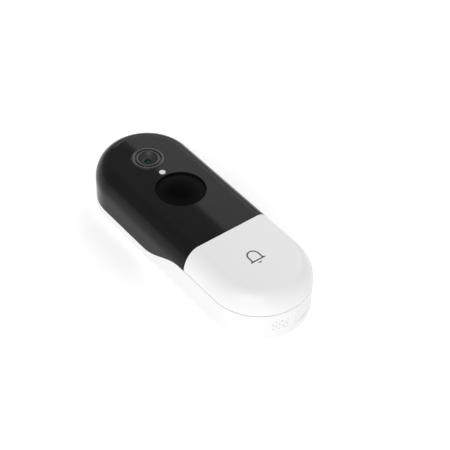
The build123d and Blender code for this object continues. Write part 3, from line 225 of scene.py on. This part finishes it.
@dataclass(frozen=True)
class Finish:
    """A moulded surface: fine relief, and slow drift in its colour and gloss."""

    colour: Colour
    roughness: float
    drift: float = 0.04
    gloss_drift: float = 0.12
    grain: float = mm(1.2)
    relief: float = mm(0.0015)
    patch: float = mm(14)
    metallic: float = 0.0
    ior: float = 1.5
    coat: float = 0.0
    coat_roughness: float = 0.05
    transmission: float = 0.0
    glow: float = 0.0

    def tint(self, sheet: NodeSheet) -> bpy.types.NodeSocket:
        """Let the colour drift slowly from place to place.

        Args:
            sheet: The material to place nodes on.

        Returns:
            The surface's colour.
        """
        light = tuple(min(c * (1 + self.drift), 1.0) for c in self.colour)
        dark = tuple(c * (1 - self.drift) for c in self.colour)
        share = sheet.ranged(sheet.noise(self.patch, detail=3), 0, 1)
        return sheet.mixed(share, dark, light)

    def gloss(self, sheet: NodeSheet) -> bpy.types.NodeSocket:
        """Return the surface's roughness, which drifts a little too."""
        return sheet.ranged(sheet.noise(self.patch / 2), self.roughness * (1 - self.gloss_drift),
                            self.roughness * (1 + self.gloss_drift))

    def height(self, sheet: NodeSheet) -> bpy.types.NodeSocket:
        """Return the pattern that the relief follows, from 0 to 1."""
        return sheet.noise(self.grain)

    def material(self, name: str) -> bpy.types.Material:
        """Make the material.

        Args:
            name: The material's name.

        Returns:
            A material with the shader set up and its patterns joined.
        """
        sheet = NodeSheet(name)
        sheet.set(Metallic=self.metallic, IOR=self.ior, Coat_Weight=self.coat,
                  Coat_Roughness=self.coat_roughness, Transmission_Weight=self.transmission,
                  Emission_Color=(*self.colour, 1), Emission_Strength=self.glow)
        sheet.join(self.tint(sheet), "Base Color")
        sheet.join(self.gloss(sheet), "Roughness")
        bump = sheet.add("Bump", {"Height": self.height(sheet), "Distance": self.relief,
                                  "Strength": 1.0})
        sheet.join(bump.outputs["Normal"], "Normal")
        return sheet.material


@dataclass(frozen=True)
class Sparked(Finish):
    """A matte surface from a spark-eroded mould: small pits on a fine noise."""

    grain: float = mm(0.35)
    relief: float = mm(0.008)

    def height(self, sheet: NodeSheet) -> bpy.types.NodeSocket:
        """Lay a finer noise over small rounded pits.

        Args:
            sheet: The material to place nodes on.

        Returns:
            The pattern that the relief follows.
        """
        pits = sheet.add("TexVoronoi", {"Vector": sheet.place, "Scale": 1 / self.grain},
                         feature="SMOOTH_F1")
        fine = sheet.noise(self.grain / 3, detail=3)
        both = sheet.add("Math", {0: pits.outputs["Distance"], 1: fine}, operation="ADD")
        return both.outputs["Value"]


@dataclass(frozen=True)
class Brushed(Finish):
    """Metal with fine lines along one axis."""

    along: tuple[float, float, float] = (12.0, 1.0, 1.0)
    metallic: float = 1.0
    grain: float = mm(0.12)
    relief: float = mm(0.002)

    def height(self, sheet: NodeSheet) -> bpy.types.NodeSocket:
        """Return noise drawn out along the brushing."""
        return sheet.noise(self.grain, detail=4, stretch=self.along)


@dataclass(frozen=True)
class Turned(Finish):
    """A surface with the fine rings of a lathe tool round one upright axis."""

    centre: tuple[float, float, float] = (0.0, 0.0, 0.0)
    pitch: float = mm(0.12)

    def height(self, sheet: NodeSheet) -> bpy.types.NodeSocket:
        """Draw rings round the axis.

        Args:
            sheet: The material to place nodes on.

        Returns:
            The pattern that the relief follows.
        """
        where = sheet.add("Mapping", {"Vector": sheet.place,
                                      "Location": [-c for c in self.centre]})
        rings = sheet.add("TexWave", {"Vector": where.outputs["Vector"],
                                      "Scale": WAVE_FACTOR / self.pitch},
                          wave_type="RINGS", rings_direction="Z")
        return rings.outputs["Fac"]


@dataclass(frozen=True)
class ConedBezel(Turned):
    """Glossy black beads round a satin grey cone."""

    cone_reach: float = mm(4.75)
    change_over: float = mm(0.1)
    satin: Colour = (0.017, 0.017, 0.0175)
    satin_roughness: float = 0.5

    def on_beads(self, sheet: NodeSheet) -> bpy.types.NodeSocket:
        """Return 1 on the beads and 0 on the cone."""
        return sheet.ranged(sheet.from_axis(self.centre), 0, 1, self.cone_reach,
                            self.cone_reach + self.change_over)

    def tint(self, sheet: NodeSheet) -> bpy.types.NodeSocket:
        """Return the cone's grey inside and the beads' black outside."""
        return sheet.mixed(self.on_beads(sheet), self.satin, self.colour)

    def gloss(self, sheet: NodeSheet) -> bpy.types.NodeSocket:
        """Return satin on the cone and gloss on the beads."""
        return sheet.ranged(self.on_beads(sheet), self.satin_roughness, self.roughness, 0, 1)


@dataclass(frozen=True)
class SolderMask(Finish):
    """A circuit board: tracks that stand out a little under a green lacquer."""

    track: Colour = (0.05, 0.3, 0.14)
    pitch: float = mm(1.6)
    wander: float = 0.7
    track_edge: tuple[float, float] = (0.42, 0.46)

    def tracks(self, sheet: NodeSheet) -> bpy.types.NodeSocket:
        """Draw the tracks.

        Args:
            sheet: The material to place nodes on.

        Returns:
            1 on the tracks and 0 between them.
        """
        cells = sheet.add("TexVoronoi", {"Vector": sheet.place, "Scale": 1 / self.pitch,
                                         "Randomness": self.wander},
                          distance="CHEBYCHEV", feature="F1")
        return sheet.ranged(cells.outputs["Distance"], 0, 1, *self.track_edge)

    def tint(self, sheet: NodeSheet) -> bpy.types.NodeSocket:
        """Return green that is lighter over the tracks."""
        return sheet.mixed(self.tracks(sheet), self.colour, self.track)

    def height(self, sheet: NodeSheet) -> bpy.types.NodeSocket:
        """Return the tracks' slight relief."""
        return self.tracks(sheet)


@dataclass(frozen=True)
class Woven(Finish):
    """A fine open weave or foam, with painted shade that darkens it in its gaps."""

    thread: float = mm(0.28)
    relief: float = mm(0.06)
    # How dark the painted shade in the gaps between threads is.
    valley_shade_share: float = 0.25

    def height(self, sheet: NodeSheet) -> bpy.types.NodeSocket:
        """Lay two sets of threads across each other.

        Args:
            sheet: The material to place nodes on.

        Returns:
            The pattern that the relief follows, 1 on top of a thread.
        """
        scale = WAVE_FACTOR / self.thread
        warp, weft = [sheet.add("TexWave", {"Vector": sheet.place, "Scale": scale},
                                bands_direction=way).outputs["Fac"] for way in ("X", "Z")]
        return sheet.add("Math", {0: warp, 1: weft}, operation="MAXIMUM").outputs["Value"]

    def tint(self, sheet: NodeSheet) -> bpy.types.NodeSocket:
        """Return the thread's colour, with painted shade making it nearly black in the gaps."""
        # Painted shade: the low places between the threads are darkened.
        valley_shade = tuple(c * self.valley_shade_share for c in self.colour)
        return sheet.mixed(self.height(sheet), valley_shade, self.colour)


@dataclass(frozen=True)
class FilmWithPaintedSheen(Finish):
    """A nearly black window film with a painted reflection that lightens it towards its rim."""

    centre: tuple[float, float, float] = (0.0, 0.0, 0.0)
    # Where the painted reflection starts, where it is full, and its colour.
    sheen_start_reach: float = mm(5)
    sheen_full_reach: float = mm(14)
    pale: Colour = (0.008, 0.008, 0.0085)

    def tint(self, sheet: NodeSheet) -> bpy.types.NodeSocket:
        """Paint a reflection: let the black pale away from the window's middle.

        Args:
            sheet: The material to place nodes on.

        Returns:
            The film's colour.
        """
        reach = sheet.from_axis(self.centre)
        # Painted reflection: the colour pales from the middle out to the rim.
        share = sheet.ranged(reach, 0, 1, self.sheen_start_reach, self.sheen_full_reach)
        return sheet.mixed(share, self.colour, self.pale)


CAMERA_AXIS = sum(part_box("camera_bezel"), Vector()) / 2
WINDOW_AXIS = sum(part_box("pir_window"), Vector()) / 2
WHITE: Colour = (0.87, 0.87, 0.87)
FINISHES: dict[Slot, Finish] = {
    Slot.WHITE_SHELL: Finish(WHITE, 0.34, drift=0.008, gloss_drift=0.03, relief=mm(0.001),
                             patch=mm(30)),
    Slot.BLACK_SHELL: Finish((0.006, 0.006, 0.0064), 0.04, drift=0.2, relief=mm(0.0002), ior=1.24),
    Slot.WHITE_LID: Finish(WHITE, 0.3, drift=0.008, gloss_drift=0.03, relief=mm(0.001),
                           patch=mm(30)),
    Slot.PLATE: Sparked((0.78, 0.78, 0.77), 0.55, drift=0.02),
    Slot.SEAL: Sparked((0.03, 0.03, 0.03), 0.7),
    Slot.COVER: Finish(WHITE, 0.4, drift=0.008, relief=mm(0.001)),
    Slot.STEEL: Brushed((0.6, 0.6, 0.62), 0.32),
    Slot.BEZEL: ConedBezel((0.005, 0.005, 0.0053), 0.22, relief=mm(0.0005), ior=1.52,
                           centre=tuple(CAMERA_AXIS)),
    Slot.LENS: Finish((0.012, 0.055, 0.047), 0.08, transmission=0.5, relief=mm(0.00002), ior=1.22),
    Slot.BARREL: Turned((0.03, 0.03, 0.032), 0.35, metallic=0.6, relief=mm(0.004),
                        centre=tuple(CAMERA_AXIS)),
    Slot.HOLDER: Sparked((0.02, 0.02, 0.02), 0.6),
    Slot.FILTER: Finish((0.6, 0.3, 0.4), 0.03, transmission=0.8, relief=mm(0.00002), coat=1.0),
    Slot.CHIP: Sparked((0.022, 0.022, 0.024), 0.5, grain=mm(0.15), relief=mm(0.003)),
    Slot.BOARD: SolderMask((0.015, 0.14, 0.06), 0.25, relief=mm(0.02), coat=0.4),
    Slot.FLEX: Finish((0.5, 0.22, 0.04), 0.3, drift=0.1),
    Slot.LIGHT: Finish((0.8, 0.8, 0.79), 0.3, drift=0.02),
    Slot.SENSOR: Finish((0.6, 0.6, 0.61), 0.12, drift=0.1, coat=0.5),
    # The motion window's film has a painted reflection that lightens its rim.
    Slot.FILM: FilmWithPaintedSheen((0.0006, 0.0006, 0.0007), 0.38, relief=mm(0.0006), ior=1.07,
                    centre=tuple(WINDOW_AXIS)),
    Slot.SHIELD: Brushed((0.72, 0.72, 0.7), 0.3, along=(1.0, 10.0, 1.0)),
    Slot.BRASS: Brushed((0.8, 0.58, 0.25), 0.25, along=(1.0, 1.0, 8.0)),
    Slot.CELL: Finish((0.05, 0.16, 0.42), 0.28, drift=0.08, relief=mm(0.006), grain=mm(4)),
    Slot.CRADLE: Sparked((0.045, 0.045, 0.045), 0.55),
    Slot.FOAM: Woven((0.03, 0.03, 0.03), 0.85),
    Slot.BUTTON: Sparked((0.35, 0.35, 0.36), 0.6, drift=0.03),
}
INK = Finish((0.018, 0.018, 0.019), 0.4, drift=0.1, relief=mm(0.0005))
materials = {slot: finish.material(slot.value) for slot, finish in FINISHES.items()}


# ------------------------------------------------------------------ shared shapes
def arc(middle: tuple[float, float], radii: tuple[float, float], start: float, stop: float,
        steps: int = 12) -> Profile:
    """Return points along part of an ellipse.

    Args:
        middle: The ellipse's middle, as (radius, height).
        radii: Its half-axes along radius and height.
        start: The first point's angle in degrees, from outwards towards up.
        stop: The last point's angle in degrees.
        steps: The number of spans.

    Returns:
        The points from start to stop.
    """
    angles = [math.radians(start + (stop - start) * i / steps) for i in range(steps + 1)]
    return [(middle[0] + radii[0] * math.cos(a), middle[1] + radii[1] * math.sin(a))
            for a in angles]


def spun(profile: Profile, axis: Vector) -> bmesh.types.BMesh:
    """Spin a closed (radius, height) outline a full turn about an upright axis.

    Args:
        profile: The outline's points in metres, heights from the wall.
        axis: Any point on the axis.

    Returns:
        The shape, with its poles merged and its faces outwards.
    """
    shape = bmesh.new()
    verts = [shape.verts.new((axis.x + radius, axis.y, height)) for radius, height in profile]
    edges = [shape.edges.new(pair) for pair in zip(verts, verts[1:] + verts[:1])
             if not on_axis(pair, axis)]
    bmesh.ops.spin(shape, geom=verts + edges, cent=axis, axis=(0, 0, 1), angle=math.tau,
                   steps=SPIN_STEPS, use_merge=True)
    bmesh.ops.remove_doubles(shape, verts=shape.verts, dist=MERGE_REACH)
    bmesh.ops.recalc_face_normals(shape, faces=shape.faces)
    return shape


def on_axis(pair: Iterable[bmesh.types.BMVert], axis: Vector) -> bool:
    """Return whether both points lie on the upright axis."""
    return all(abs(vert.co.x - axis.x) < MERGE_REACH for vert in pair)


def finished(shape: bmesh.types.BMesh, name: str, body: str, slot: Slot,
             stands_for: Sequence[str] = (), sharp: float = 35.0,
             material: bpy.types.Material | None = None) -> bpy.types.Object:
    """Turn a shape into a piece that rides on its body.

    Args:
        shape: The shape, which is freed.
        name: The piece's name.
        body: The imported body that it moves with.
        slot: The material slot that its finish comes from.
        stands_for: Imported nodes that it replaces.
        sharp: The angle in degrees past which an edge stays sharp.
        material: A material other than the slot's own.

    Returns:
        The piece.
    """
    mesh = bpy.data.meshes.new(name)
    shape.to_mesh(mesh)
    shape.free()
    mesh.shade_smooth()
    mesh.set_sharp_from_angle(angle=math.radians(sharp))
    mesh.materials.append(material or materials[slot])
    piece = bpy.data.objects.new(name, mesh)
    bpy.context.collection.objects.link(piece)
    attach(piece, body)
    if stands_for:
        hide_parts(*stands_for)
    log.info("%s rides on %s, %d faces", name, body, len(mesh.polygons))
    return piece


# ------------------------------------------------------------------ sub-assemblies
@dataclass
class Bell:
    """The bell that is printed on the button lid."""

    middle_x: float = mm(-0.7)
    dome_y: float = mm(-42.7)
    base_y: float = mm(-46.6)
    half_width: float = mm(3.4)
    foot_reach: float = mm(4.7)
    foot_rise: float = mm(1.1)
    line: float = mm(0.75)
    ink: float = mm(0.02)
    clapper_y: float = mm(-47.75)
    clapper_radius: float = mm(1.15)
    clapper_flatness: float = 0.6
    dome_steps: int = 28
    clapper_steps: int = 16

    def outline(self) -> Profile:
        """Draw the bell's outer edge.

        Returns:
            The edge's points, from the right foot over the dome to the left foot.
        """
        middle, foot = self.middle_x, self.base_y + self.foot_rise
        dome = arc((middle, self.dome_y), (self.half_width, self.half_width), 0, 180,
                   self.dome_steps)
        right = [(middle + self.foot_reach, self.base_y), (middle + self.half_width, foot)]
        left = [(middle - self.half_width, foot), (middle - self.foot_reach, self.base_y)]
        return right + dome + left

    def clapper(self) -> Profile:
        """Return the clapper's outline, the lower half of a flat oval."""
        radii = (self.clapper_radius, self.clapper_radius * self.clapper_flatness)
        return arc((self.middle_x, self.clapper_y), radii, 180, 360, self.clapper_steps)

    def build(self) -> None:
        """Print the bell and its clapper on the lid's face."""
        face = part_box("button_lid")[1].z
        shape = bmesh.new()
        bell, _ = [shape.faces.new([shape.verts.new((x, y, face)) for x, y in outline])
                   for outline in (self.outline(), self.clapper())]
        shape.normal_update()
        bmesh.ops.inset_region(shape, faces=[bell], thickness=self.line, use_boundary=True,
                               use_even_offset=True)
        bmesh.ops.delete(shape, geom=[bell], context="FACES_ONLY")
        raised = bmesh.ops.extrude_face_region(shape, geom=list(shape.faces), use_keep_orig=True)
        top = [item for item in raised["geom"] if isinstance(item, bmesh.types.BMVert)]
        bmesh.ops.translate(shape, vec=(0, 0, self.ink), verts=top)
        bmesh.ops.recalc_face_normals(shape, faces=shape.faces)
        finished(shape, "printed_bell", "button", Slot.WHITE_LID, material=INK.material("bell_ink"))


@dataclass
class CameraEye:
    """The bezel with its two beads and cone, and the front lens."""

    rim: float = mm(8.7)
    bead_radii: tuple[float, float] = (mm(7.7), mm(5.65))
    bead_half_widths: tuple[float, float] = (mm(0.95), mm(0.8))
    bead_height: float = mm(0.4)
    groove_depth: float = mm(0.2)
    cone_depth: float = mm(1.8)
    eye_radius: float = mm(1.8)
    lens_radius: float = mm(1.7)
    lens_rise: float = mm(0.5)
    flange: float = mm(1.0)
    nose_gap: float = mm(3.4)
    skin: float = mm(0.2)
    rim_break: tuple[float, float] = (mm(0.02), mm(0.04))
    cone_break: tuple[float, float] = (mm(0.12), mm(0.06))
    bead_steps: int = 16
    lens_steps: int = 12
    sharp: float = 50.0

    def build_bezel(self) -> None:
        """Spin the bezel's outline."""
        low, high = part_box("camera_bezel")
        axis = (low + high) / 2
        face = high.z - self.bead_height
        flange = (high.x - low.x) / 2
        ceiling = low.z + self.flange
        outer, inner = self.bead_radii
        outer_width, inner_width = self.bead_half_widths
        profile = [(self.eye_radius, ceiling - self.skin), (self.nose_gap, ceiling - self.skin),
                   (self.nose_gap, low.z), (flange, low.z), (flange, ceiling), (self.rim, ceiling),
                   (self.rim, face - self.rim_break[1]), (self.rim - self.rim_break[0], face)]
        profile += arc((outer, face), (outer_width, self.bead_height), 0, 180, self.bead_steps)
        profile += [(radius, face - self.groove_depth)
                    for radius in (outer - outer_width, inner + inner_width)]
        profile += arc((inner, face), (inner_width, self.bead_height), 0, 180, self.bead_steps)
        foot = face - self.cone_depth
        profile += [(self.eye_radius + self.cone_break[0], foot + self.cone_break[1]),
                    (self.eye_radius, foot)]
        finished(spun(profile, axis), "camera_bezel_ring", "doorbell", Slot.BEZEL,
                 ("camera_bezel",), self.sharp)

    def build_lens(self) -> None:
        """Spin the front lens, flat behind and domed in front."""
        low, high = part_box("front_lens")
        axis = (low + high) / 2
        rise = self.lens_rise
        sphere = (self.lens_radius ** 2 + rise ** 2) / (2 * rise)
        edge = math.degrees(math.acos(self.lens_radius / sphere))
        dome = arc((0, high.z - sphere), (sphere, sphere), edge, 90, self.lens_steps)
        profile = [(0, low.z), (self.lens_radius, low.z)] + dome
        finished(spun(profile, axis), "front_lens_glass", "doorbell", Slot.LENS,
                 ("front_lens",), self.sharp)

    def build(self) -> None:
        """Make the whole eye."""
        self.build_bezel()
        self.build_lens()


@dataclass
class MotionWindow:
    """The dark, slightly domed window in front of the motion sensor."""

    dome_rise: float = mm(1.2)
    radius: float = mm(12.95)
    wall: float = mm(1.0)
    dome_steps: int = 24
    sharp: float = 40.0

    def build(self) -> None:
        """Spin the window: a dome with an upright wall and a flange behind the face."""
        low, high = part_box("pir_window")
        axis = (low + high) / 2
        flange = (high.x - low.x) / 2
        shelf = low.z + self.wall
        bore, ceiling = self.radius - self.wall, high.z - self.wall
        profile = [(0, ceiling)] + self.dome(bore, ceiling)[::-1]
        profile += [(bore, low.z), (flange, low.z), (flange, shelf), (self.radius, shelf)]
        profile += self.dome(self.radius, high.z)
        finished(spun(profile, axis), "motion_window_dome", "doorbell", Slot.FILM,
                 ("pir_window",), self.sharp)

    def dome(self, radius: float, top: float) -> Profile:
        """Draw a shallow dome.

        Args:
            radius: Its rim's radius.
            top: Its height on the axis.

        Returns:
            The dome's points from its rim up to the axis.
        """
        sphere = (radius ** 2 + self.dome_rise ** 2) / (2 * self.dome_rise)
        rim = math.degrees(math.acos(radius / sphere))
        return arc((0, top - sphere), (sphere, sphere), rim, 90, self.dome_steps)


@dataclass
class PackedParts:
    """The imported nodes, which keep their shapes and get their slots' finishes."""

    def build(self) -> None:
        """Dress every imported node; the few that a piece replaces are hidden after this."""
        for row in frame["record"]["subparts"]:
            node = frame["nodes"][row["node"]]
            node.data.materials.clear()
            node.data.materials.append(materials[Slot(row["material_slot"])])
            log.info("%s keeps its packed shape, finish %s", row["node"], row["material_slot"])


# ------------------------------------------------------------------ studio
@dataclass(frozen=True)
class Softbox:
    """A rectangular light, which hangs straight down unless it has a point to face."""

    name: str
    place: tuple[float, float, float]
    size: tuple[float, float]
    power: float
    aim: tuple[float, float, float] | None = None

    def hang(self) -> None:
        """Hang the light."""
        data = bpy.data.lights.new(self.name, "AREA")
        data.shape = "RECTANGLE"
        data.size, data.size_y = self.size
        data.energy = self.power
        light = bpy.data.objects.new(self.name, data)
        light.location = self.place
        if self.aim is not None:
            way = Vector(self.aim) - Vector(self.place)
            light.rotation_euler = way.to_track_quat("-Z", "Y").to_euler()
        bpy.context.collection.objects.link(light)


@dataclass
class Studio:
    """The floor, the soft lights, the pale surroundings and the camera."""

    azimuth: float = -39.55
    elevation: float = 43.485
    roll: float = 2.084
    distance: float = 0.67154
    aim: tuple[float, float, float] = (mm(10.13), mm(-7.29), mm(15.07))
    lens: float = 106.11
    sensor_width: float = 36.0
    clip: tuple[float, float] = (0.01, 20.0)
    floor_size: float = 6.0
    floor_grey: float = 0.95
    floor_roughness: float = 0.7
    floor_specular: float = 0.2
    floor_glow: float = 0.3
    key: Softbox = Softbox("key", (-1.08, -0.86, 0.85), (1.3, 1.1), 10.3, aim=(0, 0, 0))
    panel: Softbox = Softbox("panel", (0.9186, 0.65, 0.628), (1.04, 1.3), 6.5)
    low_surroundings: tuple[float, float] = (0.02, 0.9)     # height, brightness
    high_surroundings: tuple[float, float] = (0.16, 0.55)

    def place_camera(self) -> None:
        """Set up the camera from its angles round the aiming point."""
        turn, tilt = math.radians(self.azimuth), math.radians(self.elevation)
        back = Vector((math.sin(turn) * math.cos(tilt), -math.cos(turn) * math.cos(tilt),
                       math.sin(tilt)))
        data = bpy.data.cameras.new("camera")
        data.lens = self.lens
        data.sensor_width = self.sensor_width
        data.clip_start, data.clip_end = self.clip
        camera = bpy.data.objects.new("camera", data)
        camera.location = Vector(self.aim) + back * self.distance
        facing = (-back).to_track_quat("-Z", "Y").to_matrix()
        facing = facing @ Matrix.Rotation(math.radians(self.roll), 3, "Z")
        camera.rotation_euler = facing.to_euler()
        bpy.context.collection.objects.link(camera)
        bpy.context.scene.camera = camera

    def lay_floor(self) -> None:
        """Lay the pale floor just under the object."""
        shape = bmesh.new()
        bmesh.ops.create_grid(shape, x_segments=1, y_segments=1, size=self.floor_size / 2)
        mesh = bpy.data.meshes.new("floor")
        shape.to_mesh(mesh)
        shape.free()
        sheet = NodeSheet("floor")
        sheet.set(Base_Color=(*[self.floor_grey] * 3, 1), Roughness=self.floor_roughness,
                  Specular_IOR_Level=self.floor_specular, Emission_Color=(1, 1, 1, 1),
                  Emission_Strength=self.floor_glow)
        mesh.materials.append(sheet.material)
        floor = bpy.data.objects.new("floor", mesh)
        bpy.context.collection.objects.link(floor)

    def hang_lights(self) -> None:
        """Hang the lights and paint the surroundings, paler low down than overhead."""
        self.key.hang()
        self.panel.hang()
        world = bpy.data.worlds.new("surroundings")
        world.use_nodes = True
        tree = world.node_tree
        way = tree.nodes.new("ShaderNodeTexCoord").outputs["Generated"]
        split = tree.nodes.new("ShaderNodeSeparateXYZ")
        tree.links.new(way, split.inputs["Vector"])
        ramp = tree.nodes.new("ShaderNodeValToRGB")
        tree.links.new(split.outputs["Z"], ramp.inputs["Fac"])
        for stop, (height, grey) in zip(ramp.color_ramp.elements,
                                        (self.low_surroundings, self.high_surroundings)):
            stop.position = height
            stop.color = (grey, grey, grey, 1)
        tree.links.new(ramp.outputs["Color"], tree.nodes["Background"].inputs["Color"])
        bpy.context.scene.world = world
        bpy.context.scene.view_settings.view_transform = "Standard"

    def build(self) -> None:
        """Make the whole studio."""
        self.place_camera()
        self.lay_floor()
        self.hang_lights()


def main() -> None:
    """Build the studio and every sub-assembly in order."""
    logging.basicConfig(level=logging.INFO, format="%(name)s: %(message)s")
    for assembly in (Studio(), PackedParts(), CameraEye(), MotionWindow(), Bell()):
        log.info("building %s", type(assembly).__name__)
        assembly.build()


if __name__ == "__main__":
    main()
